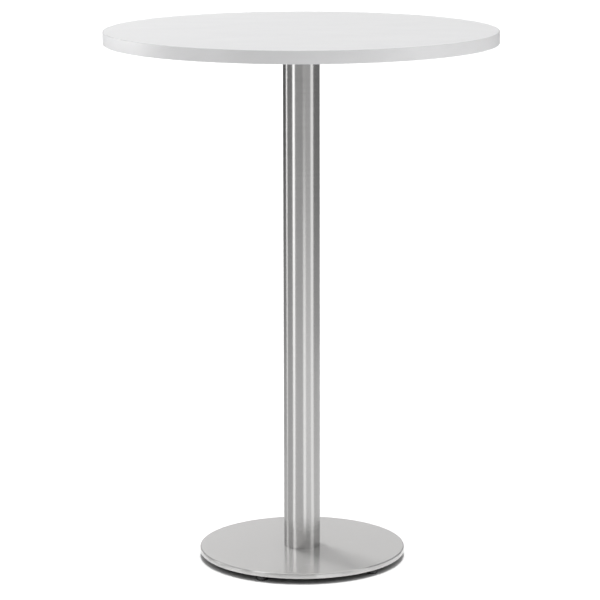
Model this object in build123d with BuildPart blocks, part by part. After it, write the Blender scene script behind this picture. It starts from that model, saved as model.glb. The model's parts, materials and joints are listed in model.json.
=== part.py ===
from build123d import *

import os

# A bar-height bistro table: a round laminate top on a steel spider, a stainless column and a round base.
# Millimetres, +Z up. The origin is on the floor, under the middle of the column, and the front is -Y.
# A tie rod down the column pulls the spider, the column and the base together, and five levelling
# feet screw into the ballast plate.

# Tabletop: a particleboard core between two laminates, with an edge band round them
TOP_DIAMETER = 800.0
TABLE_HEIGHT = 1100.0
CORE_THICKNESS = 24.0
LAMINATE_THICKNESS = 0.8
EDGE_BAND_THICKNESS = 2.0
EDGE_BAND_RADIUS = 1.2

# Column and tie rod
COLUMN_DIAMETER = 75.0
COLUMN_WALL = 1.5
PLUG_CLEARANCE = 0.2
PLUG_CHAMFER = 1.5
ROD_RADIUS = 6.0
ROD_PITCH = 1.75
ROD_CORE_RADIUS = 5.4
ROD_THREAD_LENGTH = 42.0
ROD_TIP_GAP = 1.0
ROD_CLEARANCE_RADIUS = 6.5

# Base: a folded sheet cover over a steel ballast plate
BASE_DIAMETER = 426.0
FLOOR_GAP = 12.0
COVER_HEIGHT = 10.5
COVER_SHEET = 1.5
COVER_CORNER_RADIUS = 2.4
COVER_HEM_RADIUS = 0.5
WEIGHT_RECESS = 0.5
WEIGHT_EDGE_GAP = 0.9
WEIGHT_CHAMFER = 1.2
SPIGOT_RADIUS = 25.0
SPIGOT_CLEARANCE = 0.2
FOOT_PLUG_HEIGHT = 18.0

# Spider under the tabletop: a round hub with four folded channel arms
ARM_COUNT = 4
ARM_START_ANGLE = 45.0
ARM_WIDTH = 40.0
ARM_HEIGHT = 18.0
ARM_SHEET = 3.0
ARM_BEND_RADIUS = 4.0
ARM_INNER_RADIUS = 24.0
ARM_REACH = 185.0
ARM_TAPER_LENGTH = 70.0
ARM_TIP_HEIGHT = 7.0
ARM_SCREW_RADII = (95.0, 165.0)
ARM_HOLE_RADIUS = 3.3
HUB_RADIUS = 65.0
HUB_THICKNESS = 6.0
HUB_CHAMFER = 1.0
HEAD_PLUG_HEIGHT = 14.0

# M6 screws and inserts that hold the spider to the tabletop
SCREW_RADIUS = 2.95
SCREW_PITCH = 1.0
SCREW_LENGTH = 16.0
SCREW_HEAD_RADIUS = 5.5
SCREW_HEAD_HEIGHT = 3.3
SCREW_SOCKET_RADIUS = 2.3
SCREW_SOCKET_DEPTH = 2.0
SCREW_WASHER_RADIUS = 6.2
SCREW_WASHER_THICKNESS = 1.6
INSERT_BORE_RADIUS = 5.0
INSERT_BORE_DEPTH = 14.0
INSERT_RADIUS = 4.95
INSERT_INNER_RADIUS = 3.0
INSERT_LENGTH = 13.0
INSERT_PITCH = 2.6

# M12 nut, washer and spring washer on the tie rod
WASHER_RADIUS = 12.0
WASHER_THICKNESS = 2.5
SPRING_WASHER_RADIUS = 10.5
SPRING_WASHER_SLIT = 2.0
NUT_ACROSS_FLATS = 18.0
NUT_HEIGHT = 10.0
NUT_CHAMFER = 1.0
THREADED_BORE_RADIUS = 6.05

# M8 countersunk screws from the ballast plate into the foot plug
PLUG_SCREW_COUNT = 4
PLUG_SCREW_CIRCLE_RADIUS = 17.0
PLUG_SCREW_RADIUS = 3.95
PLUG_SCREW_PITCH = 1.25
PLUG_SCREW_LENGTH = 20.0
PLUG_SCREW_HEAD_RADIUS = 7.9
PLUG_SCREW_SOCKET_RADIUS = 2.9
PLUG_SCREW_SOCKET_DEPTH = 3.0
PLUG_BORE_DEPTH = 14.0
PLUG_CLEARANCE_HOLE_RADIUS = 4.3
COUNTERSINK_RADIUS = 8.2

# Levelling feet: an M8 stem with a ball end in a plastic pad
FOOT_COUNT = 5
FOOT_CIRCLE_RADIUS = 194.0
FIRST_FOOT_ANGLE = -115.0
STEM_RADIUS = 4.0
STEM_BORE_RADIUS = 4.05
STEM_PITCH = 1.25
STEM_THREAD_LENGTH = 8.0
STEM_HEX_ACROSS_FLATS = 13.0
STEM_HEX_HEIGHT = 3.2
STEM_HEX_CHAMFER = 0.5
STEM_NECK_RADIUS = 2.4
BALL_RADIUS = 3.6
BALL_CENTRE_HEIGHT = 5.2
SOCKET_RADIUS = 3.8
SOCKET_MOUTH_RADIUS = 3.1
PAD_RADIUS = 12.0
PAD_HEIGHT = 9.0
PAD_SOLE_CHAMFER = 1.0
PAD_TOP_CHAMFER = 1.5

# Heights worked out from the sizes above
board_thickness = CORE_THICKNESS + 2 * LAMINATE_THICKNESS
underside_z = TABLE_HEIGHT - board_thickness
core_z = underside_z + LAMINATE_THICKNESS
laminate_z = core_z + CORE_THICKNESS
arm_z = underside_z - ARM_HEIGHT
web_z = underside_z - ARM_SHEET
hub_z = arm_z - HUB_THICKNESS
cover_top_z = FLOOR_GAP + COVER_HEIGHT
weight_top_z = cover_top_z - COVER_SHEET
weight_z = FLOOR_GAP + WEIGHT_RECESS
hex_z = weight_z - STEM_HEX_HEIGHT

# Radii worked out from the sizes above
core_radius = TOP_DIAMETER / 2 - EDGE_BAND_THICKNESS
column_radius = COLUMN_DIAMETER / 2
plug_radius = column_radius - COLUMN_WALL - PLUG_CLEARANCE
cover_radius = BASE_DIAMETER / 2
weight_radius = cover_radius - COVER_SHEET - WEIGHT_EDGE_GAP


def save(piece, name):
    """Labels a finished part and writes its STEP file."""
    piece.label = name
    export_step(piece, f"parts/{name}.step")


def thread_side(crest, pitch, low, high):
    """Outline points up the side of a thread, drawn as rings, from one height to another."""
    root = crest - 0.5 * pitch
    turns = int((high - low) / pitch)
    points = []
    for turn in range(turns):
        z = low + turn * pitch
        points += [(crest, z), (crest, z + 0.2 * pitch), (root, z + 0.5 * pitch), (root, z + 0.7 * pitch)]
    return points + [(crest, high)]


os.makedirs("parts", exist_ok=True)

# ---- tabletop ----

with BuildPart() as tabletop_core:
    with BuildSketch(Plane.XY.offset(core_z)):
        Circle(core_radius)
    extrude(amount=CORE_THICKNESS)
    with BuildSketch(Plane.XY.offset(core_z)):
        for screw_circle in ARM_SCREW_RADII:
            with PolarLocations(screw_circle, ARM_COUNT, ARM_START_ANGLE):
                Circle(INSERT_BORE_RADIUS)
    extrude(amount=INSERT_BORE_DEPTH, mode=Mode.SUBTRACT)
save(tabletop_core.part, "tabletop_core")

with BuildPart() as tabletop_laminate:
    with BuildSketch(Plane.XY.offset(laminate_z)):
        Circle(core_radius)
    extrude(amount=LAMINATE_THICKNESS)
save(tabletop_laminate.part, "tabletop_laminate")

with BuildPart() as tabletop_backer:
    with BuildSketch(Plane.XY.offset(underside_z)):
        Circle(core_radius)
        for screw_circle in ARM_SCREW_RADII:
            with PolarLocations(screw_circle, ARM_COUNT, ARM_START_ANGLE):
                Circle(INSERT_BORE_RADIUS, mode=Mode.SUBTRACT)
    extrude(amount=LAMINATE_THICKNESS)
save(tabletop_backer.part, "tabletop_backer")

with BuildPart() as tabletop_edge_band:
    with BuildSketch(Plane.XZ) as band_section:
        with Locations((core_radius, underside_z)):
            Rectangle(EDGE_BAND_THICKNESS, board_thickness, align=(Align.MIN, Align.MIN))
        fillet(band_section.vertices().group_by(Axis.X)[-1], EDGE_BAND_RADIUS)
    revolve(axis=Axis.Z)
save(tabletop_edge_band.part, "tabletop_edge_band")

insert_top_z = core_z + INSERT_LENGTH
with BuildPart() as insert_blank:
    with BuildSketch(Plane.XZ):
        with BuildLine():
            Polyline(
                *thread_side(INSERT_RADIUS, INSERT_PITCH, core_z, insert_top_z),
                (INSERT_INNER_RADIUS, insert_top_z),
                (INSERT_INNER_RADIUS, core_z),
                close=True,
            )
        make_face()
    revolve(axis=Axis.Z)
with BuildPart() as threaded_inserts:
    for screw_circle in ARM_SCREW_RADII:
        with PolarLocations(screw_circle, ARM_COUNT, ARM_START_ANGLE):
            add(insert_blank.part)
save(threaded_inserts.part, "threaded_inserts")

# ---- spider ----

with BuildPart() as spider_hub:
    with BuildSketch(Plane.XY.offset(hub_z)):
        Circle(HUB_RADIUS)
        Circle(ROD_CLEARANCE_RADIUS, mode=Mode.SUBTRACT)
    extrude(amount=HUB_THICKNESS)
    chamfer(spider_hub.edges().group_by(Axis.Z)[0].sort_by(SortBy.LENGTH)[-1], HUB_CHAMFER)
save(spider_hub.part, "spider_hub")

with BuildPart() as arm_blank:
    # Cross-section of the folded channel, open downwards
    with BuildSketch(Plane.YZ.offset(ARM_INNER_RADIUS)) as channel_section:
        with Locations((0, arm_z)):
            Rectangle(ARM_WIDTH, ARM_HEIGHT, align=(Align.CENTER, Align.MIN))
        fillet(channel_section.vertices().group_by(Axis.Y)[-1], ARM_BEND_RADIUS)
        with BuildSketch(mode=Mode.SUBTRACT) as channel_hollow:
            with Locations((0, arm_z)):
                Rectangle(
                    ARM_WIDTH - 2 * ARM_SHEET,
                    ARM_HEIGHT - ARM_SHEET,
                    align=(Align.CENTER, Align.MIN),
                )
            fillet(channel_hollow.vertices().group_by(Axis.Y)[-1], ARM_BEND_RADIUS - ARM_SHEET)
    extrude(amount=ARM_REACH - ARM_INNER_RADIUS)
    # The flanges slope up towards the tip
    with BuildSketch(Plane.XZ):
        with BuildLine():
            Polyline(
                (ARM_REACH - ARM_TAPER_LENGTH, arm_z),
                (ARM_REACH, underside_z - ARM_TIP_HEIGHT),
                (ARM_REACH, arm_z),
                close=True,
            )
        make_face()
    extrude(amount=ARM_WIDTH, both=True, mode=Mode.SUBTRACT)
    with Locations(*[(screw_circle, 0, underside_z) for screw_circle in ARM_SCREW_RADII]):
        Hole(ARM_HOLE_RADIUS)
for number in range(ARM_COUNT):
    with BuildPart() as spider_arm:
        add(arm_blank.part, rotation=(0, 0, ARM_START_ANGLE + number * 360 / ARM_COUNT))
    save(spider_arm.part, f"spider_arm_{number + 1}")

screw_washer_z = web_z - SCREW_WASHER_THICKNESS
with BuildPart() as spider_washers:
    with BuildSketch(Plane.XY.offset(screw_washer_z)):
        for screw_circle in ARM_SCREW_RADII:
            with PolarLocations(screw_circle, ARM_COUNT, ARM_START_ANGLE):
                Circle(SCREW_WASHER_RADIUS)
                Circle(ARM_HOLE_RADIUS, mode=Mode.SUBTRACT)
    extrude(amount=SCREW_WASHER_THICKNESS)
save(spider_washers.part, "spider_washers")

head_z = screw_washer_z - SCREW_HEAD_HEIGHT
with BuildPart() as screw_blank:
    # Button head below, threaded shank above
    with BuildSketch(Plane.XZ):
        with BuildLine():
            dome = ThreePointArc(
                (SCREW_SOCKET_RADIUS, head_z),
                (0.8 * SCREW_HEAD_RADIUS, head_z + 0.3 * SCREW_HEAD_HEIGHT),
                (SCREW_HEAD_RADIUS, head_z + 0.8 * SCREW_HEAD_HEIGHT),
            )
            Polyline(
                dome @ 1,
                (SCREW_HEAD_RADIUS, screw_washer_z),
                *thread_side(SCREW_RADIUS, SCREW_PITCH, screw_washer_z, screw_washer_z + SCREW_LENGTH),
                (0, screw_washer_z + SCREW_LENGTH),
                (0, head_z),
                dome @ 0,
            )
        make_face()
    revolve(axis=Axis.Z)
    with BuildSketch(Plane.XY.offset(head_z)):
        RegularPolygon(SCREW_SOCKET_RADIUS, 6)
    extrude(amount=SCREW_SOCKET_DEPTH, mode=Mode.SUBTRACT)
with BuildPart() as spider_screws:
    for screw_circle in ARM_SCREW_RADII:
        with PolarLocations(screw_circle, ARM_COUNT, ARM_START_ANGLE):
            add(screw_blank.part)
save(spider_screws.part, "spider_screws")

# ---- column and tie rod ----

with BuildPart() as column_tube:
    with BuildSketch(Plane.XY.offset(cover_top_z)):
        Circle(column_radius)
        Circle(column_radius - COLUMN_WALL, mode=Mode.SUBTRACT)
    extrude(amount=hub_z - cover_top_z)
save(column_tube.part, "column_tube")

with BuildPart() as head_plug:
    with BuildSketch(Plane.XY.offset(hub_z - HEAD_PLUG_HEIGHT)):
        Circle(plug_radius)
        Circle(ROD_CLEARANCE_RADIUS, mode=Mode.SUBTRACT)
    extrude(amount=HEAD_PLUG_HEIGHT)
    chamfer(head_plug.edges().group_by(Axis.Z)[0].sort_by(SortBy.LENGTH)[-1], PLUG_CHAMFER)
save(head_plug.part, "head_plug")

plug_top_z = cover_top_z + FOOT_PLUG_HEIGHT
with BuildPart() as foot_plug:
    # The spigot passes through the cover and stands on the ballast plate
    with BuildSketch(Plane.XY.offset(weight_top_z)):
        Circle(SPIGOT_RADIUS)
    extrude(amount=COVER_SHEET)
    with BuildSketch(Plane.XY.offset(cover_top_z)):
        Circle(plug_radius)
    extrude(amount=FOOT_PLUG_HEIGHT)
    chamfer(foot_plug.edges().group_by(Axis.Z)[-1], PLUG_CHAMFER)
    with Locations((0, 0, plug_top_z)):
        Hole(THREADED_BORE_RADIUS)
    with BuildSketch(Plane.XY.offset(weight_top_z)):
        with PolarLocations(PLUG_SCREW_CIRCLE_RADIUS, PLUG_SCREW_COUNT):
            Circle(STEM_BORE_RADIUS)
    extrude(amount=PLUG_BORE_DEPTH, mode=Mode.SUBTRACT)
save(foot_plug.part, "foot_plug")

washer_z = arm_z
spring_washer_z = washer_z + WASHER_THICKNESS
nut_z = spring_washer_z + WASHER_THICKNESS
rod_top_z = underside_z - ROD_TIP_GAP
rod_z = weight_top_z + ROD_TIP_GAP
plain_rod_z = rod_z + ROD_THREAD_LENGTH
upper_thread_z = rod_top_z - ROD_THREAD_LENGTH
with BuildPart() as tie_rod:
    with BuildSketch(Plane.XZ):
        with BuildLine():
            Polyline(
                (0, rod_z),
                *thread_side(ROD_RADIUS, ROD_PITCH, rod_z, plain_rod_z),
                (ROD_CORE_RADIUS, plain_rod_z),
                (ROD_CORE_RADIUS, upper_thread_z),
                *thread_side(ROD_RADIUS, ROD_PITCH, upper_thread_z, rod_top_z),
                (0, rod_top_z),
                close=True,
            )
        make_face()
    revolve(axis=Axis.Z)
save(tie_rod.part, "tie_rod")

with BuildPart() as tie_rod_washer:
    with BuildSketch(Plane.XY.offset(washer_z)):
        Circle(WASHER_RADIUS)
        Circle(ROD_CLEARANCE_RADIUS, mode=Mode.SUBTRACT)
    extrude(amount=WASHER_THICKNESS)
save(tie_rod_washer.part, "tie_rod_washer")

with BuildPart() as tie_rod_spring_washer:
    with BuildSketch(Plane.XY.offset(spring_washer_z)):
        Circle(SPRING_WASHER_RADIUS)
        Circle(ROD_CLEARANCE_RADIUS, mode=Mode.SUBTRACT)
    extrude(amount=WASHER_THICKNESS)
    # The slit is cut on the slant, as a spring washer's is
    with BuildSketch(Plane.XZ):
        with BuildLine():
            Polyline(
                (-SPRING_WASHER_SLIT, spring_washer_z),
                (0, spring_washer_z),
                (SPRING_WASHER_SLIT, nut_z),
                (0, nut_z),
                close=True,
            )
        make_face()
    extrude(amount=SPRING_WASHER_RADIUS + 1, mode=Mode.SUBTRACT)
save(tie_rod_spring_washer.part, "tie_rod_spring_washer")

with BuildPart() as tie_rod_nut:
    with BuildSketch(Plane.XY.offset(nut_z)):
        RegularPolygon(NUT_ACROSS_FLATS / 2, 6, major_radius=False)
        Circle(THREADED_BORE_RADIUS, mode=Mode.SUBTRACT)
    extrude(amount=NUT_HEIGHT)
    # The corners are turned away at both ends
    with BuildSketch(Plane.XZ):
        with BuildLine():
            Polyline(
                (0, nut_z),
                (NUT_ACROSS_FLATS / 2, nut_z),
                (NUT_ACROSS_FLATS / 2 + 2 * NUT_CHAMFER, nut_z + NUT_CHAMFER),
                (NUT_ACROSS_FLATS / 2 + 2 * NUT_CHAMFER, nut_z + NUT_HEIGHT - NUT_CHAMFER),
                (NUT_ACROSS_FLATS / 2, nut_z + NUT_HEIGHT),
                (0, nut_z + NUT_HEIGHT),
                close=True,
            )
        make_face()
    revolve(axis=Axis.Z, mode=Mode.INTERSECT)
save(tie_rod_nut.part, "tie_rod_nut")

# ---- base ----

with BuildPart() as base_cover:
    with BuildSketch(Plane.XZ) as cover_section:
        with Locations((SPIGOT_RADIUS + SPIGOT_CLEARANCE, weight_top_z)):
            Rectangle(
                cover_radius - SPIGOT_RADIUS - SPIGOT_CLEARANCE,
                COVER_SHEET,
                align=(Align.MIN, Align.MIN),
            )
        with Locations((cover_radius, FLOOR_GAP)):
            Rectangle(COVER_SHEET, COVER_HEIGHT, align=(Align.MAX, Align.MIN))
        outer_corner = cover_section.vertices().group_by(Axis.Y)[-1].sort_by(Axis.X)[-1]
        fillet(outer_corner, COVER_CORNER_RADIUS)
        inner_corner = cover_section.vertices().group_by(Axis.Y)[1].sort_by(Axis.X)[-1]
        fillet(inner_corner, COVER_CORNER_RADIUS - COVER_SHEET)
        fillet(cover_section.vertices().group_by(Axis.Y)[0], COVER_HEM_RADIUS)
    revolve(axis=Axis.Z)
save(base_cover.part, "base_cover")

with BuildPart() as base_weight:
    with BuildSketch(Plane.XY.offset(weight_z)):
        Circle(weight_radius)
    extrude(amount=weight_top_z - weight_z)
    chamfer(base_weight.edges().filter_by(GeomType.CIRCLE), WEIGHT_CHAMFER)
    with PolarLocations(FOOT_CIRCLE_RADIUS, FOOT_COUNT, FIRST_FOOT_ANGLE):
        with Locations((0, 0, weight_top_z)):
            Hole(STEM_BORE_RADIUS)
    with Locations(Plane((0, 0, weight_z), z_dir=(0, 0, -1))):
        with PolarLocations(PLUG_SCREW_CIRCLE_RADIUS, PLUG_SCREW_COUNT):
            CounterSinkHole(PLUG_CLEARANCE_HOLE_RADIUS, COUNTERSINK_RADIUS, counter_sink_angle=90)
save(base_weight.part, "base_weight")

cone_height = PLUG_SCREW_HEAD_RADIUS - PLUG_SCREW_RADIUS
with BuildPart() as plug_screw_blank:
    with BuildSketch(Plane.XZ):
        with BuildLine():
            Polyline(
                (0, weight_z),
                (PLUG_SCREW_HEAD_RADIUS, weight_z),
                *thread_side(
                    PLUG_SCREW_RADIUS,
                    PLUG_SCREW_PITCH,
                    weight_z + cone_height,
                    weight_z + PLUG_SCREW_LENGTH,
                ),
                (0, weight_z + PLUG_SCREW_LENGTH),
                close=True,
            )
        make_face()
    revolve(axis=Axis.Z)
    with BuildSketch(Plane.XY.offset(weight_z)):
        RegularPolygon(PLUG_SCREW_SOCKET_RADIUS, 6)
    extrude(amount=PLUG_SCREW_SOCKET_DEPTH, mode=Mode.SUBTRACT)
with BuildPart() as foot_plug_screws:
    with PolarLocations(PLUG_SCREW_CIRCLE_RADIUS, PLUG_SCREW_COUNT):
        add(plug_screw_blank.part)
save(foot_plug_screws.part, "foot_plug_screws")

# ---- levelling feet ----

with BuildPart() as stem_blank:
    # Thread above the hexagon, neck and ball below it
    with BuildSketch(Plane.XZ):
        with BuildLine():
            Polyline(
                (0, hex_z),
                *thread_side(STEM_RADIUS, STEM_PITCH, weight_z, weight_z + STEM_THREAD_LENGTH),
                (0, weight_z + STEM_THREAD_LENGTH),
                close=True,
            )
        make_face()
        with Locations((0, BALL_CENTRE_HEIGHT)):
            Rectangle(STEM_NECK_RADIUS, hex_z - BALL_CENTRE_HEIGHT, align=(Align.MIN, Align.MIN))
    revolve(axis=Axis.Z)
    with Locations((0, 0, BALL_CENTRE_HEIGHT)):
        Sphere(BALL_RADIUS)
    with BuildSketch(Plane.XY.offset(hex_z)):
        RegularPolygon(STEM_HEX_ACROSS_FLATS / 2, 6, major_radius=False)
    extrude(amount=STEM_HEX_HEIGHT)
    hexagon_faces = stem_blank.faces().filter_by(Axis.Z).sort_by(SortBy.AREA)
    chamfer(hexagon_faces[-1].outer_wire().edges(), STEM_HEX_CHAMFER)

with BuildPart() as pad_blank:
    with BuildSketch(Plane.XZ):
        with BuildLine():
            Polyline(
                (0, 0),
                (PAD_RADIUS - PAD_SOLE_CHAMFER, 0),
                (PAD_RADIUS, PAD_SOLE_CHAMFER),
                (PAD_RADIUS, PAD_HEIGHT - PAD_TOP_CHAMFER),
                (PAD_RADIUS - PAD_TOP_CHAMFER, PAD_HEIGHT),
                (0, PAD_HEIGHT),
                close=True,
            )
        make_face()
    revolve(axis=Axis.Z)
    with Locations((0, 0, BALL_CENTRE_HEIGHT)):
        Sphere(SOCKET_RADIUS, mode=Mode.SUBTRACT)
    with BuildSketch(Plane.XY.offset(BALL_CENTRE_HEIGHT)):
        Circle(SOCKET_MOUTH_RADIUS)
    extrude(amount=PAD_HEIGHT - BALL_CENTRE_HEIGHT, mode=Mode.SUBTRACT)

foot_places = PolarLocations(FOOT_CIRCLE_RADIUS, FOOT_COUNT, FIRST_FOOT_ANGLE).local_locations
for number, place in enumerate(foot_places, start=1):
    with BuildPart() as foot_stem:
        with Locations(place):
            add(stem_blank.part)
    save(foot_stem.part, f"foot_stem_{number}")
    with BuildPart() as foot_pad:
        with Locations(place):
            add(pad_blank.part)
    save(foot_pad.part, f"foot_pad_{number}")
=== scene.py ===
import json
import math

import bpy
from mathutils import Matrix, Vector


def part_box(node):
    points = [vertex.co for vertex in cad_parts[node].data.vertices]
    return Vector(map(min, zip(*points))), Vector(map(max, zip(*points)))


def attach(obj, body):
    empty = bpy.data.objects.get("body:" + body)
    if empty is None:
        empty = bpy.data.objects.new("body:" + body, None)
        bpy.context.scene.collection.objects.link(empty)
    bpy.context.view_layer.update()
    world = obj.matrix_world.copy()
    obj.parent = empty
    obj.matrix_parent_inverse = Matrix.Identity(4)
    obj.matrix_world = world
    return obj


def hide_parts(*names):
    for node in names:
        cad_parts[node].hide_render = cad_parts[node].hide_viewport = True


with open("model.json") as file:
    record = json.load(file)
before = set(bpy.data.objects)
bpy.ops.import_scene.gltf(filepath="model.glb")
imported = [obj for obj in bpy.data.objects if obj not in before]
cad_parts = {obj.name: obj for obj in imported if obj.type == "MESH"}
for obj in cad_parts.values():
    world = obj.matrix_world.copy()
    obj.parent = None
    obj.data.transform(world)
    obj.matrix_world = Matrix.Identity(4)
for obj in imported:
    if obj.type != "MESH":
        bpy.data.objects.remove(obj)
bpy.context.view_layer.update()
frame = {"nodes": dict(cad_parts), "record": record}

# A bar-height bistro table in a plain studio. Metres, +Z up, and the front is -Y.
# The CAD nodes stay where they are. The round pieces that show are lathed again with finer
# outlines, and everything gets a procedural material.

TABLE_BODY = "table"
MILLIMETRE = 0.001


# ---- camera ----

CAMERA_PLACE = Vector((-0.0014, -5.475, 1.643))
CAMERA_PITCH = math.radians(11.352)
CAMERA_ROLL = 0.0019
CAMERA_LENS = 162.85
SENSOR_WIDTH = 36.0
CLIP_START = 0.1
CLIP_END = 200.0


def make_camera():
    """A long lens, a little above the tabletop and looking slightly down."""
    data = bpy.data.cameras.new("camera")
    data.lens = CAMERA_LENS
    data.sensor_width = SENSOR_WIDTH
    data.clip_start = CLIP_START
    data.clip_end = CLIP_END
    camera = bpy.data.objects.new("camera", data)
    camera.location = CAMERA_PLACE
    camera.rotation_euler = (math.pi / 2 - CAMERA_PITCH, CAMERA_ROLL, 0)
    bpy.context.scene.collection.objects.link(camera)
    bpy.context.scene.camera = camera


make_camera()


# ---- material tools ----

# The places of the Mix node's colour sockets among its sockets for every type of data
MIX_FIRST_COLOR = 6
MIX_SECOND_COLOR = 7
MIX_RESULT_COLOR = 2


class Shader:
    """A material with one Principled BSDF, and short ways to feed its sockets."""

    def __init__(self, name, color, roughness, metallic=0.0, **settings):
        self.material = bpy.data.materials.new(name)
        self.material.use_nodes = True
        self.tree = self.material.node_tree
        self.bsdf = self.tree.nodes["Principled BSDF"]
        self.color = color
        self.roughness = roughness
        self.bsdf.inputs["Base Color"].default_value = (*color, 1.0)
        self.bsdf.inputs["Roughness"].default_value = roughness
        self.bsdf.inputs["Metallic"].default_value = metallic
        for socket, value in settings.items():
            self.bsdf.inputs[socket.replace("_", " ").title()].default_value = value

    def node(self, kind, **settings):
        """A new node with its properties set."""
        made = self.tree.nodes.new(kind)
        for key, value in settings.items():
            setattr(made, key, value)
        return made

    def link(self, source, target):
        self.tree.links.new(source, target)

    def place(self):
        """The point's place in its own piece's frame, in metres."""
        return self.node("ShaderNodeTexCoord").outputs["Object"]

    def noise(self, scales, detail=3.0, roughness=0.55):
        """Noise between 0 and 1, with this many cells to the metre along X, Y and Z."""
        mapping = self.node("ShaderNodeMapping")
        mapping.inputs["Scale"].default_value = scales
        self.link(self.place(), mapping.inputs["Vector"])
        texture = self.node("ShaderNodeTexNoise")
        texture.inputs["Scale"].default_value = 1.0
        texture.inputs["Detail"].default_value = detail
        texture.inputs["Roughness"].default_value = roughness
        self.link(mapping.outputs["Vector"], texture.inputs["Vector"])
        return texture.outputs["Fac"]

    def cells(self, scale):
        """The distance from the middles of Voronoi cells, with this many cells to the metre."""
        texture = self.node("ShaderNodeTexVoronoi")
        texture.inputs["Scale"].default_value = scale
        self.link(self.place(), texture.inputs["Vector"])
        return texture.outputs["Distance"]

    def ranged(self, source, low, high, start=0.3, end=0.7):
        """A value that goes from low to high as the source goes from start to end."""
        mapper = self.node("ShaderNodeMapRange")
        mapper.inputs["From Min"].default_value = start
        mapper.inputs["From Max"].default_value = end
        mapper.inputs["To Min"].default_value = low
        mapper.inputs["To Max"].default_value = high
        self.link(source, mapper.inputs["Value"])
        return mapper.outputs["Result"]

    def product(self, source, factor):
        """A source times a factor, which is a number or another source."""
        made = self.node("ShaderNodeMath", operation="MULTIPLY")
        self.link(source, made.inputs[0])
        if isinstance(factor, float):
            made.inputs[1].default_value = factor
        else:
            self.link(factor, made.inputs[1])
        return made.outputs["Value"]

    def colored(self, factor, first, second):
        """The base colour turns from one colour into another as the factor goes from 0 to 1."""
        mixer = self.node("ShaderNodeMix", data_type="RGBA")
        mixer.inputs[MIX_FIRST_COLOR].default_value = (*first, 1.0)
        mixer.inputs[MIX_SECOND_COLOR].default_value = (*second, 1.0)
        self.link(factor, mixer.inputs["Factor"])
        self.link(mixer.outputs[MIX_RESULT_COLOR], self.bsdf.inputs["Base Color"])

    def shade(self, source, darker, lighter):
        """The base colour times a factor that follows the source."""
        dark = tuple(channel * darker for channel in self.color)
        light = tuple(channel * lighter for channel in self.color)
        self.colored(source, dark, light)

    def rough(self, source, change):
        """Roughness that varies by the change either way, following the source."""
        low = self.roughness - change
        high = self.roughness + change
        self.link(self.ranged(source, low, high), self.bsdf.inputs["Roughness"])

    def bump(self, source, depth):
        """Relief that follows the source, this many metres deep."""
        bump = self.node("ShaderNodeBump")
        bump.inputs["Strength"].default_value = 1.0
        bump.inputs["Distance"].default_value = depth
        self.link(source, bump.inputs["Height"])
        self.link(bump.outputs["Normal"], self.bsdf.inputs["Normal"])

    def brushed_round(self):
        """The grain runs round the Z axis."""
        tangent = self.node("ShaderNodeTangent", direction_type="RADIAL", axis="Z")
        self.link(tangent.outputs["Tangent"], self.bsdf.inputs["Tangent"])

    def brushed_along(self, layer):
        """The grain runs along U of a UV layer."""
        tangent = self.node("ShaderNodeTangent", direction_type="UV_MAP", uv_map=layer)
        self.link(tangent.outputs["Tangent"], self.bsdf.inputs["Tangent"])


# ---- materials ----

# A quarter turn sets the long axis of the steel's blurred reflections across the grain
ACROSS_THE_GRAIN = 0.25
DUST_LIGHTENING = 2.2
WEAR_HEIGHT = 1.2 * MILLIMETRE
GRAIN_LAYER = "grain"


def white_laminate():
    """High-pressure laminate: a fine pearl texture, and faint traces of wiping."""
    shader = Shader("white_laminate", (0.655, 0.655, 0.66), 0.36)
    shader.shade(shader.noise((3, 3, 3)), 0.99, 1.01)
    shader.rough(shader.noise((9, 14, 9), detail=5), 0.04)
    shader.bump(shader.noise((1400, 1400, 1400), detail=2), 0.006 * MILLIMETRE)
    return shader.material


def backer_laminate():
    """The balancing sheet under the top: matt, warm white, with paper fibres."""
    shader = Shader("backer_laminate", (0.66, 0.65, 0.62), 0.62)
    shader.shade(shader.noise((60, 260, 60), detail=4), 0.94, 1.04)
    shader.rough(shader.noise((20, 20, 20)), 0.06)
    shader.bump(shader.noise((500, 900, 500)), 0.01 * MILLIMETRE)
    return shader.material


def white_edge_band():
    """Extruded white plastic, with faint lines drawn round the edge."""
    shader = Shader("white_edge_band", (0.515, 0.515, 0.52), 0.33)
    shader.shade(shader.noise((8, 8, 40)), 0.99, 1.01)
    drawn = shader.noise((12, 12, 1800), detail=2)
    shader.rough(drawn, 0.04)
    shader.bump(drawn, 0.004 * MILLIMETRE)
    return shader.material


def particleboard():
    """Pressed wood chips."""
    shader = Shader("particleboard", (0.55, 0.40, 0.25), 0.85)
    chips = shader.cells(420)
    tone = shader.product(chips, 1.6)
    shader.colored(tone, (0.62, 0.48, 0.31), (0.38, 0.26, 0.15))
    shader.bump(chips, 0.15 * MILLIMETRE)
    return shader.material


def zinc_alloy():
    """Die-cast zinc, dull and a little warm."""
    shader = Shader("zinc_alloy", (0.52, 0.50, 0.45), 0.42, metallic=1.0)
    shader.shade(shader.noise((400, 400, 400)), 0.88, 1.06)
    shader.bump(shader.noise((1500, 1500, 1500)), 0.01 * MILLIMETRE)
    return shader.material


def zinc_plated_steel():
    """Bright zinc plating with its cloudy, faintly blue patches."""
    shader = Shader("zinc_plated_steel", (0.60, 0.62, 0.65), 0.30, metallic=1.0)
    clouds = shader.noise((220, 220, 220), detail=4)
    shader.colored(clouds, (0.52, 0.54, 0.58), (0.66, 0.66, 0.64))
    shader.rough(shader.noise((600, 600, 600)), 0.08)
    shader.bump(shader.noise((2600, 2600, 2600)), 0.004 * MILLIMETRE)
    return shader.material


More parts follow.
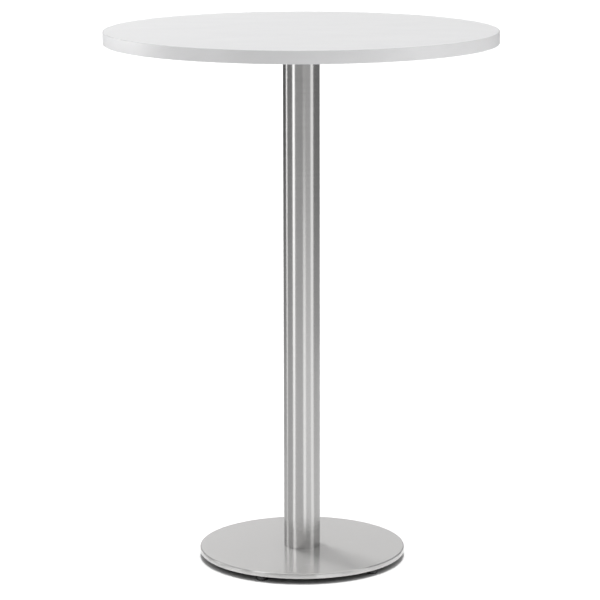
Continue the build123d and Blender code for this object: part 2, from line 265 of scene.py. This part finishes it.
def bare_steel():
    """Turned steel, with the tool's rings."""
    shader = Shader("bare_steel", (0.45, 0.44, 0.43), 0.38, metallic=1.0)
    rings = shader.noise((40, 40, 3000), detail=2)
    shader.shade(shader.noise((90, 90, 90), detail=4), 0.82, 1.08)
    shader.rough(rings, 0.07)
    shader.bump(rings, 0.01 * MILLIMETRE)
    return shader.material


def powder_coat(name, color, roughness, peel_depth):
    """Powder coat, with its orange peel and a little dust."""
    shader = Shader(name, color, roughness)
    dust = shader.ranged(shader.noise((14, 14, 30), detail=6), 0.0, 0.6, 0.5, 0.85)
    shader.colored(dust, color, tuple(channel * DUST_LIGHTENING for channel in color))
    shader.rough(shader.noise((25, 25, 25), detail=4), 0.06)
    shader.bump(shader.noise((650, 650, 650), detail=1), peel_depth)
    return shader.material


def black_nylon():
    """Moulded nylon: a fine texture, paler where the sole has scraped."""
    shader = Shader("black_nylon", (0.018, 0.018, 0.019), 0.28)
    height = shader.node("ShaderNodeSeparateXYZ")
    shader.link(shader.place(), height.inputs["Vector"])
    near_floor = shader.ranged(height.outputs["Z"], 1.0, 0.0, 0.0, WEAR_HEIGHT)
    scrapes = shader.ranged(shader.noise((300, 300, 900), detail=5), 0.0, 1.0, 0.45, 0.7)
    shader.colored(shader.product(near_floor, scrapes), shader.color, (0.11, 0.11, 0.11))
    shader.rough(shader.noise((120, 120, 120)), 0.05)
    shader.bump(shader.noise((2200, 2200, 2200)), 0.006 * MILLIMETRE)
    return shader.material


def brushed_column():
    """Stainless tube ground round and round, so that reflections smear up and down."""
    shader = Shader(
        "brushed_stainless_column",
        (0.62, 0.615, 0.61),
        0.22,
        metallic=1.0,
        anisotropic=0.5,
        anisotropic_rotation=ACROSS_THE_GRAIN,
    )
    shader.brushed_round()
    bands = shader.noise((5, 5, 190), detail=5, roughness=0.7)
    grain = shader.noise((9, 9, 5200), detail=2)
    shader.shade(bands, 0.95, 1.04)
    shader.rough(bands, 0.03)
    shader.bump(grain, 0.0012 * MILLIMETRE)
    return shader.material


def brushed_sheet():
    """Stainless sheet with a straight satin grain. The part that isn't metallic stands for the
    broad, soft share of a satin sheet's reflection."""
    shader = Shader(
        "brushed_stainless_base",
        (0.575, 0.57, 0.565),
        0.26,
        metallic=0.8,
        anisotropic=0.96,
        anisotropic_rotation=ACROSS_THE_GRAIN,
    )
    shader.brushed_along(GRAIN_LAYER)
    streaks = shader.noise((4, 700, 700), detail=5, roughness=0.7)
    grain = shader.noise((14, 5200, 5200), detail=2)
    shader.shade(streaks, 0.985, 1.012)
    shader.rough(streaks, 0.015)
    shader.bump(grain, 0.0003 * MILLIMETRE)
    return shader.material


MATERIALS = {
    "white_laminate": white_laminate(),
    "backer_laminate": backer_laminate(),
    "white_edge_band": white_edge_band(),
    "particleboard": particleboard(),
    "zinc_alloy": zinc_alloy(),
    "zinc_plated_steel": zinc_plated_steel(),
    "bare_steel": bare_steel(),
    "black_powder_coat": powder_coat(
        "black_powder_coat", (0.020, 0.020, 0.021), 0.42, peel_depth=0.02 * MILLIMETRE
    ),
    "black_ballast_paint": powder_coat(
        "black_ballast_paint", (0.030, 0.030, 0.030), 0.6, peel_depth=0.03 * MILLIMETRE
    ),
    "black_nylon": black_nylon(),
    "brushed_stainless_column": brushed_column(),
    "brushed_stainless_base": brushed_sheet(),
}


def dress_cad_nodes():
    """Each CAD node gets the material of its slot."""
    slots = {part["node"]: part["material_slot"] for part in frame["record"]["subparts"]}
    for name, node in frame["nodes"].items():
        for material_slot in node.material_slots:
            material_slot.material = MATERIALS[slots[name]]


dress_cad_nodes()


# ---- lathed pieces ----

ROUND_SEGMENTS = 384
SHARP_ANGLE = math.radians(35)
FULL_TURN = 2 * math.pi

# A face whose normal rises less than this is upright
UPRIGHT_LIMIT = 0.7


def arc(centre, radius, start, end, steps=6):
    """Outline points along an arc about a (radius, height) centre. Angles are in degrees from outwards."""
    points = []
    for step in range(steps + 1):
        angle = math.radians(start + (end - start) * step / steps)
        points.append((centre[0] + radius * math.cos(angle), centre[1] + radius * math.sin(angle)))
    return points


def lathe(name, outline):
    """A closed solid turned about the Z axis. The outline goes round its section anticlockwise
    in (radius, height), and starts and ends on the axis if the solid has no bore."""
    vertices = []
    rows = []
    for radius, height in outline:
        if radius == 0:
            rows.append([len(vertices)] * ROUND_SEGMENTS)
            vertices.append((0, 0, height))
            continue
        rows.append(list(range(len(vertices), len(vertices) + ROUND_SEGMENTS)))
        for step in range(ROUND_SEGMENTS):
            angle = FULL_TURN * step / ROUND_SEGMENTS
            vertices.append((radius * math.cos(angle), radius * math.sin(angle), height))
    faces = []
    for row, upper in zip(rows, rows[1:] + rows[:1]):
        if row[0] == row[1] and upper[0] == upper[1]:
            continue
        for step in range(ROUND_SEGMENTS):
            following = (step + 1) % ROUND_SEGMENTS
            corners = [row[step], row[following], upper[following], upper[step]]
            faces.append(list(dict.fromkeys(corners)))
    mesh = bpy.data.meshes.new(name)
    mesh.from_pydata(vertices, [], faces)
    mesh.validate()
    mesh.shade_smooth()
    mesh.set_sharp_from_angle(angle=SHARP_ANGLE)
    piece = bpy.data.objects.new(name, mesh)
    bpy.context.scene.collection.objects.link(piece)
    return piece


def stand_for(piece, node, slot):
    """The piece takes a CAD node's place on the table."""
    piece.data.materials.append(MATERIALS[slot])
    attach(piece, TABLE_BODY)
    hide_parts(node)


def section(node):
    """The outer radius, the lowest height and the highest height of a round CAD node."""
    low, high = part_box(node)
    return (high[0] - low[0]) / 2, low[2], high[2]


# The inner radii and the small roundings, which a box doesn't show
EDGE_BAND_THICKNESS = 2.0 * MILLIMETRE
EDGE_BAND_RADIUS = 1.2 * MILLIMETRE
SEAM_CHAMFER = 0.12 * MILLIMETRE
COLUMN_WALL = 1.5 * MILLIMETRE
COLUMN_END_CHAMFER = 0.15 * MILLIMETRE
COVER_SHEET = 1.5 * MILLIMETRE
COVER_CORNER_RADIUS = 2.4 * MILLIMETRE
COVER_HEM_RADIUS = 0.5 * MILLIMETRE
COVER_HOLE_RADIUS = 25.2 * MILLIMETRE


def make_laminate():
    """The white sheet on top, with its edge trimmed flush at a fine chamfer."""
    radius, low, high = section("tabletop_laminate")
    outline = [
        (0, low),
        (radius, low),
        (radius, high - SEAM_CHAMFER),
        (radius - SEAM_CHAMFER, high),
        (radius / 2, high),
        (0, high),
    ]
    top = lathe("laminate_top", outline)
    stand_for(top, "tabletop_laminate", "white_laminate")
    return top


def make_edge_band():
    """The band round the board, rounded outside and scraped flush inside."""
    radius, low, high = section("tabletop_edge_band")
    inner = radius - EDGE_BAND_THICKNESS
    rounding = radius - EDGE_BAND_RADIUS
    outline = [(inner + SEAM_CHAMFER, low)]
    outline += arc((rounding, low + EDGE_BAND_RADIUS), EDGE_BAND_RADIUS, -90, 0)
    outline += arc((rounding, high - EDGE_BAND_RADIUS), EDGE_BAND_RADIUS, 0, 90)
    outline += [
        (inner + SEAM_CHAMFER, high),
        (inner, high - SEAM_CHAMFER),
        (inner, low + SEAM_CHAMFER),
    ]
    band = lathe("edge_band", outline)
    stand_for(band, "tabletop_edge_band", "white_edge_band")
    return band


def make_column():
    """The ground tube, with its cut ends just broken."""
    radius, low, high = section("column_tube")
    bore = radius - COLUMN_WALL
    outline = [
        (bore, low),
        (radius - COLUMN_END_CHAMFER, low),
        (radius, low + COLUMN_END_CHAMFER),
        (radius, high - COLUMN_END_CHAMFER),
        (radius - COLUMN_END_CHAMFER, high),
        (bore, high),
    ]
    stand_for(lathe("column_skin", outline), "column_tube", "brushed_stainless_column")


def make_base_cover():
    """The folded sheet cover: a flat top, a rounded shoulder and a straight skirt."""
    radius, low, high = section("base_cover")
    shoulder = (radius - COVER_CORNER_RADIUS, high - COVER_CORNER_RADIUS)
    skirt = radius - COVER_SHEET
    underside = high - COVER_SHEET
    outline = [(COVER_HOLE_RADIUS, underside)]
    outline += arc(shoulder, COVER_CORNER_RADIUS - COVER_SHEET, 90, 0)
    outline += arc((skirt + COVER_HEM_RADIUS, low + COVER_HEM_RADIUS), COVER_HEM_RADIUS, 180, 270, 3)
    outline += arc((radius - COVER_HEM_RADIUS, low + COVER_HEM_RADIUS), COVER_HEM_RADIUS, 270, 360, 3)
    outline += arc(shoulder, COVER_CORNER_RADIUS, 0, 90, 8)
    outline += [(COVER_HOLE_RADIUS, high)]
    cover = lathe("base_cover_skin", outline)
    lay_grain(cover, radius)
    stand_for(cover, "base_cover", "brushed_stainless_base")
    return cover


def lay_grain(piece, radius):
    """UVs whose U follows the grain: along X on flat faces, and round the skirt on upright ones."""
    mesh = piece.data
    layer = mesh.uv_layers.new(name=GRAIN_LAYER)
    for face in mesh.polygons:
        upright = abs(face.normal.z) < UPRIGHT_LIMIT
        middle = math.atan2(face.center.y, face.center.x)
        for corner in face.loop_indices:
            point = mesh.vertices[mesh.loops[corner].vertex_index].co
            if upright:
                angle = math.atan2(point.y, point.x)
                angle += FULL_TURN * round((middle - angle) / FULL_TURN)
                layer.data[corner].uv = (angle * radius, point.z)
            else:
                layer.data[corner].uv = (point.x, point.y)


laminate_top = make_laminate()
edge_band = make_edge_band()
make_column()
base_cover = make_base_cover()


# ---- studio ----

# Every brightness is a radiance: 1 is white in the render. Azimuths and steps are in degrees.
WORLD_HORIZON = 0.22
WORLD_ZENITH = 1.34

# How far up a direction points where the world starts and stops getting brighter
WORLD_RAMP_START = 0.05
WORLD_RAMP_END = 0.75

FLOOR_HALF_WIDTH = 45.0
FLOOR_COLOR = (0.55, 0.55, 0.55)
FLOOR_ROUGHNESS = 0.9

SCREEN_STEP = 3.0
SCREEN_HEIGHT = 7.0
GROUND_SCREEN_HEIGHT = 4 * MILLIMETRE
GROUND_RINGS = (0.24, 0.9, 2.0, 3.6, 5.0)

# Each sector of the studio: its name, the azimuths it goes from and to, the brightness of its wall, and
# that of its floor from the table outwards
SECTORS = (
    ("back_left", -162, -111, 0.12, (0.60, 0.48, 0.30, 0.21)),
    ("strip_left", -111, -101, 1.75, (0.9, 1.1, 1.3, 1.6)),
    ("left", -101, -57, 0.21, (0.55, 0.55, 0.42, 0.29)),
    ("strip_front_left", -57, -42, 1.85, (1.3, 1.4, 1.55, 1.7)),
    ("front_left", -42, 9, 0.345, (0.62, 0.66, 0.54, 0.42)),
    ("front", 9, 25, 0.33, (1.3, 1.35, 1.4, 1.2)),
    ("front_right", 25, 59, 0.44, (0.80, 0.84, 0.74, 0.54)),
    ("strip_right", 59, 79, 1.15, (1.15, 1.2, 1.2, 1.15)),
    ("back_right", 79, 162, 0.19, (0.70, 0.64, 0.41, 0.28)),
    ("back", 162, 198, 0.60, (0.6, 0.6, 0.5, 0.5)),
)


def studio_floor():
    """A wide pale floor."""
    half = FLOOR_HALF_WIDTH
    corners = [(-half, -half, 0), (half, -half, 0), (half, half, 0), (-half, half, 0)]
    mesh = bpy.data.meshes.new("floor")
    mesh.from_pydata(corners, [], [(0, 1, 2, 3)])
    mesh.materials.append(Shader("floor", FLOOR_COLOR, FLOOR_ROUGHNESS).material)
    floor = bpy.data.objects.new("floor", mesh)
    bpy.context.scene.collection.objects.link(floor)
    return floor


def studio_world():
    """Even light from above that falls off towards the walls."""
    world = bpy.data.worlds.new("studio")
    world.use_nodes = True
    tree = world.node_tree
    direction = tree.nodes.new("ShaderNodeTexCoord")
    split = tree.nodes.new("ShaderNodeSeparateXYZ")
    ramp = tree.nodes.new("ShaderNodeMapRange")
    ramp.interpolation_type = "SMOOTHSTEP"
    ramp.inputs["From Min"].default_value = WORLD_RAMP_START
    ramp.inputs["From Max"].default_value = WORLD_RAMP_END
    ramp.inputs["To Min"].default_value = WORLD_HORIZON
    ramp.inputs["To Max"].default_value = WORLD_ZENITH
    tree.links.new(direction.outputs["Generated"], split.inputs["Vector"])
    tree.links.new(split.outputs["Z"], ramp.inputs["Value"])
    background = tree.nodes["Background"]
    background.inputs["Color"].default_value = (1, 1, 1, 1)
    tree.links.new(ramp.outputs["Result"], background.inputs["Strength"])
    bpy.context.scene.world = world


def around(azimuth, distance, height):
    """A point seen from the table at an azimuth in degrees: 0 is towards the camera, 90 to the right."""
    angle = math.radians(azimuth)
    return Vector((distance * math.sin(angle), -distance * math.cos(angle), height))


def hang(name, data, place, turn):
    """A light that only lights: neither the camera nor a reflection shows it."""
    light = bpy.data.objects.new(name, data)
    light.location = place
    light.rotation_euler = turn
    light.visible_camera = False
    light.visible_glossy = False
    bpy.context.scene.collection.objects.link(light)
    return light


def panel(name, width, height, brightness):
    """The data of a rectangular light, as bright however large it is."""
    data = bpy.data.lights.new(name, "AREA")
    data.shape = "RECTANGLE"
    data.size = width
    data.size_y = height
    data.energy = brightness * math.pi * width * height
    return data


def softbox(name, azimuth, distance, middle, width, height, brightness):
    """An upright softbox that faces the column, with its middle at this height."""
    turn = (math.pi / 2, 0, math.radians(azimuth))
    return hang(name, panel(name, width, height, brightness), around(azimuth, distance, middle), turn)


def key_light(name, azimuth, distance, height, size, brightness):
    """A square softbox that hangs over the table and leans towards its foot."""
    place = around(azimuth, distance, height)
    turn = place.to_track_quat("Z", "Y").to_euler()
    return hang(name, panel(name, size, size, brightness), place, turn)


def overhead(name, spread, brightness):
    """Light straight down, from a disc of sky this many degrees wide."""
    data = bpy.data.lights.new(name, "SUN")
    data.energy = brightness * math.pi
    data.angle = math.radians(spread)
    return hang(name, data, (0, 0, 0), (0, 0, 0))


def only_on(light, *pieces):
    """The light falls on these pieces alone."""
    lit = bpy.data.collections.new(light.name + "_receivers")
    for piece in pieces:
        lit.objects.link(piece)
    light.light_linking.receiver_collection = lit


def shaded_by(light, *pieces):
    """Only these pieces cast a shadow in the light."""
    blocking = bpy.data.collections.new(light.name + "_blockers")
    for piece in pieces:
        blocking.objects.link(piece)
    light.light_linking.blocker_collection = blocking


def show_in_metal(name, start, end, edges, brightness):
    """A glowing screen that only shows as a reflection. It goes round the table from one azimuth to
    another, between two edges at their (distance, height)."""
    steps = max(2, round((end - start) / SCREEN_STEP))
    corners = []
    for step in range(steps + 1):
        azimuth = start + (end - start) * step / steps
        corners += [around(azimuth, distance, height) for distance, height in edges]
    faces = [(2 * step, 2 * step + 2, 2 * step + 3, 2 * step + 1) for step in range(steps)]
    mesh = bpy.data.meshes.new(name)
    mesh.from_pydata(corners, [], faces)
    shader = Shader(name, (0, 0, 0), 1.0)
    shader.bsdf.inputs["Specular IOR Level"].default_value = 0.0
    shader.bsdf.inputs["Emission Color"].default_value = (1, 1, 1, 1)
    shader.bsdf.inputs["Emission Strength"].default_value = brightness
    mesh.materials.append(shader.material)
    screen = bpy.data.objects.new(name, mesh)
    screen.visible_camera = False
    screen.visible_diffuse = False
    screen.visible_transmission = False
    screen.visible_shadow = False
    bpy.context.scene.collection.objects.link(screen)


def surround():
    """Everything that polished metal reflects: walls, tall strip lights and the lit floor, which
    a ring of screens just above it stands for."""
    wall_edges = ((GROUND_RINGS[-1], 0), (GROUND_RINGS[-1], SCREEN_HEIGHT))
    for name, start, end, wall, ground in SECTORS:
        show_in_metal("screen_" + name, start, end, wall_edges, wall)
        for number, brightness in enumerate(ground):
            ring = GROUND_RINGS[number:number + 2]
            edges = [(distance, GROUND_SCREEN_HEIGHT) for distance in ring]
            show_in_metal(f"ground_{name}_{number + 1}", start, end, edges, brightness)


bpy.context.scene.view_settings.view_transform = "Standard"
floor = studio_floor()
studio_world()

# The white pieces: one strong softbox on the left and a weak one on the right
left = softbox(
    "softbox_left", azimuth=-108, distance=2.6, middle=1.7, width=1.5, height=1.6, brightness=9.3
)
only_on(left, laminate_top, edge_band)
right = softbox(
    "softbox_right", azimuth=70, distance=2.6, middle=1.3, width=1.6, height=2.4, brightness=2.1
)
only_on(right, laminate_top, edge_band)

# The floor: white, with a dark crescent under the front of the base
floor_light = overhead("floor_light", spread=8, brightness=1.2)
only_on(floor_light, floor)
shaded_by(floor_light, base_cover)

# The base: a light from the left and behind, so that the column throws a wedge of shadow
key = key_light("key_light", azimuth=-147, distance=3.0, height=2.6, size=1.25, brightness=84.0)
only_on(key, base_cover)

surround()
